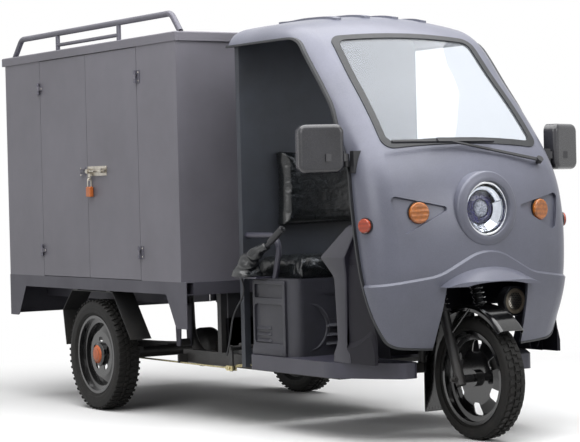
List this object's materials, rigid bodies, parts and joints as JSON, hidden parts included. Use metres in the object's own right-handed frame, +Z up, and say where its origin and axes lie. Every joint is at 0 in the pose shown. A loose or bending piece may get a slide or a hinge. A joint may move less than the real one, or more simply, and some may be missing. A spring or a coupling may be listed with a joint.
{
  "type": "cargo tricycle",
  "caption": "Closed-cab electric cargo tricycle with a grey moulded cab, steel van box with hinged side doors and a roof rack rail.",
  "frame": {"origin": "on the ground under the middle of the bounding box", "axes": "+Z up, -Y towards the front, -X towards the vehicle's right side"},
  "size_m": [1.4314, 3.3982, 1.8487],
  "materials": {
    "body_paint": "satin metallic",
    "dark_plastic": "fine grain",
    "black_metal": "satin",
    "gloss_black": "gloss",
    "rubber": "matte",
    "tyre": "matte",
    "vinyl": "gloss wrinkled",
    "glass": "clear",
    "chrome": "polished",
    "zinc": "zinc plated",
    "steel": "bare",
    "amber": "clear tinted",
    "red_lamp": "clear tinted",
    "battery_green": "satin",
    "orange": "satin"
  },
  "bodies": {
    "frame": {"chassis_rails": "black_metal", "cab_shell": "body_paint", "front_visor": "body_paint", "windshield": "glass", "rubber_seals": "rubber", "cab_rear_wall": "black_metal", "cab_posts": "body_paint", "cab_floor": "dark_plastic", "leg_shield": "dark_plastic", "seat_base": "dark_plastic", "seat_cushion": "vinyl", "seat_backrest": "vinyl", "armrest_rails": "black_metal", "lamp_housings": "chrome", "headlight_lens": "glass", "signal_lenses": "amber", "cargo_frame": "body_paint", "cargo_floor": "steel", "box_right_wall": "body_paint", "box_left_wall": "body_paint", "box_end_walls": "body_paint", "box_roof": "body_paint", "roof_rack": "body_paint", "rear_mudguards": "dark_plastic", "tail_lights": "red_lamp", "battery_pack": "battery_green", "brake_cable": "rubber", "mirror_arms": "dark_plastic", "door_hinges": "black_metal", "horn": "chrome", "leaf_springs": "black_metal", "lever_boot": "vinyl"},
    "rear_axle": {"axle_housing": "black_metal"},
    "rear_wheel_right": {"rear_wheel_right": "gloss_black", "rear_tyre_right": "tyre"},
    "rear_wheel_left": {"rear_wheel_left": "gloss_black", "rear_tyre_left": "tyre"},
    "steering": {"fork_upper": "gloss_black", "handlebar": "gloss_black", "left_grip": "rubber", "instrument_panel": "dark_plastic"},
    "throttle": {"throttle_grip": "rubber"},
    "fork_lower": {"fork_sliders": "gloss_black", "fork_springs": "chrome", "front_fender": "gloss_black"},
    "front_wheel": {"front_wheel": "gloss_black", "front_tyre": "tyre"},
    "door_front": {"door_front": "body_paint", "bolt_body": "steel"},
    "door_rear": {"door_rear": "body_paint"},
    "bolt_rod": {"bolt_rod": "steel"},
    "padlock": {"padlock": "orange"},
    "mirror_right": {"mirror_right": "dark_plastic"},
    "mirror_left": {"mirror_left": "dark_plastic"},
    "wiper": {"wiper": "dark_plastic"},
    "parking_lever": {"parking_lever": "dark_plastic"},
    "brake_pedal": {"brake_pedal": "black_metal"},
    "brake_shaft": {"brake_shaft": "zinc"},
    "brake_rod": {"brake_rod": "zinc"}
  },
  "joints": [
    {"name": "steering_turn", "type": "hinge", "parent": "frame", "child": "steering", "pos_m": [0, -1.41141, 0.23732], "axis": [0, 0.342, 0.9397], "range_deg": [-30, 30]},
    {"name": "throttle_twist", "type": "hinge", "parent": "steering", "child": "throttle", "pos_m": [-0.3, -1.06244, 0.99144], "axis": [0.9216, -0.3158, 0.2258], "range_deg": [0, 70], "stiffness_Nm_per_rad": 0.3, "springref_deg": -17.19},
    {"name": "fork_slide", "type": "slide", "parent": "steering", "child": "fork_lower", "axis": [0, 0.342, 0.9397], "range_m": [0, 0.045], "stiffness_N_per_m": 30000, "springref_m": -0.05, "deforming": ["fork_springs"]},
    {"name": "front_wheel_spin", "type": "hinge", "parent": "fork_lower", "child": "front_wheel", "pos_m": [0, -1.449, 0.251], "axis": [1, 0, 0], "continuous": true},
    {"name": "axle_bounce", "type": "slide", "parent": "frame", "child": "rear_axle", "axis": [0, 0, 1], "range_m": [0, 0.03], "stiffness_N_per_m": 100000, "springref_m": -0.06, "deforming": ["leaf_springs"]},
    {"name": "rear_wheel_right_spin", "type": "hinge", "parent": "rear_axle", "child": "rear_wheel_right", "pos_m": [-0.57, 0.73, 0.265], "axis": [1, 0, 0], "continuous": true},
    {"name": "rear_wheel_left_spin", "type": "hinge", "parent": "rear_axle", "child": "rear_wheel_left", "pos_m": [0.57, 0.73, 0.265], "axis": [1, 0, 0], "continuous": true},
    {"name": "door_front_swing", "type": "hinge", "parent": "frame", "child": "door_front", "pos_m": [-0.6298, 0.247, 0.632], "axis": [0, 0, 1], "range_deg": [0, 110]},
    {"name": "door_rear_swing", "type": "hinge", "parent": "frame", "child": "door_rear", "pos_m": [-0.6298, 1.26, 0.632], "axis": [0, 0, -1], "range_deg": [0, 110]},
    {"name": "bolt_slide", "type": "slide", "parent": "door_front", "child": "bolt_rod", "axis": [0, 1, 0], "range_m": [0, 0.05]},
    {"name": "padlock_swing", "type": "hinge", "parent": "door_front", "child": "padlock", "pos_m": [-0.634, 0.716, 1.1093], "axis": [1, 0, 0], "range_deg": [-20, 20]},
    {"name": "mirror_right_fold", "type": "hinge", "parent": "frame", "child": "mirror_right", "pos_m": [-0.521, -1.292, 1.128], "axis": [0, 0, -1], "range_deg": [-35, 15]},
    {"name": "mirror_left_fold", "type": "hinge", "parent": "frame", "child": "mirror_left", "pos_m": [0.521, -1.292, 1.128], "axis": [0, 0, 1], "range_deg": [-35, 15]},
    {"name": "wiper_sweep", "type": "hinge", "parent": "frame", "child": "wiper", "pos_m": [0.35, -1.44928, 1.14089], "axis": [0, 0.752, -0.6591], "range_deg": [0, 40]},
    {"name": "parking_brake_pull", "type": "hinge", "parent": "frame", "child": "parking_lever", "pos_m": [-0.505, -0.5, 0.705], "axis": [-1, 0, 0], "range_deg": [0, 28], "deforming": ["lever_boot"]},
    {"name": "brake_pedal_press", "type": "hinge", "parent": "frame", "child": "brake_pedal", "pos_m": [-0.32, -1, 0.3373], "axis": [1, 0, 0], "range_deg": [0, 20], "stiffness_Nm_per_rad": 8, "springref_deg": -25.78},
    {"name": "brake_shaft_turn", "type": "hinge", "parent": "frame", "child": "brake_shaft", "pos_m": [-0.478, -0.3, 0.34], "axis": [-1, 0, 0], "range_deg": [0, 8]},
    {"name": "brake_rod_slide", "type": "slide", "parent": "frame", "child": "brake_rod", "axis": [0, -1, 0], "range_m": [0, 0.013]}
  ],
  "couplings": [
    {"joint": "brake_shaft_turn", "follows": "brake_pedal_press", "ratio": 0.4},
    {"joint": "brake_rod_slide", "follows": "brake_pedal_press", "m_per_rad": 0.0352}
  ]
}
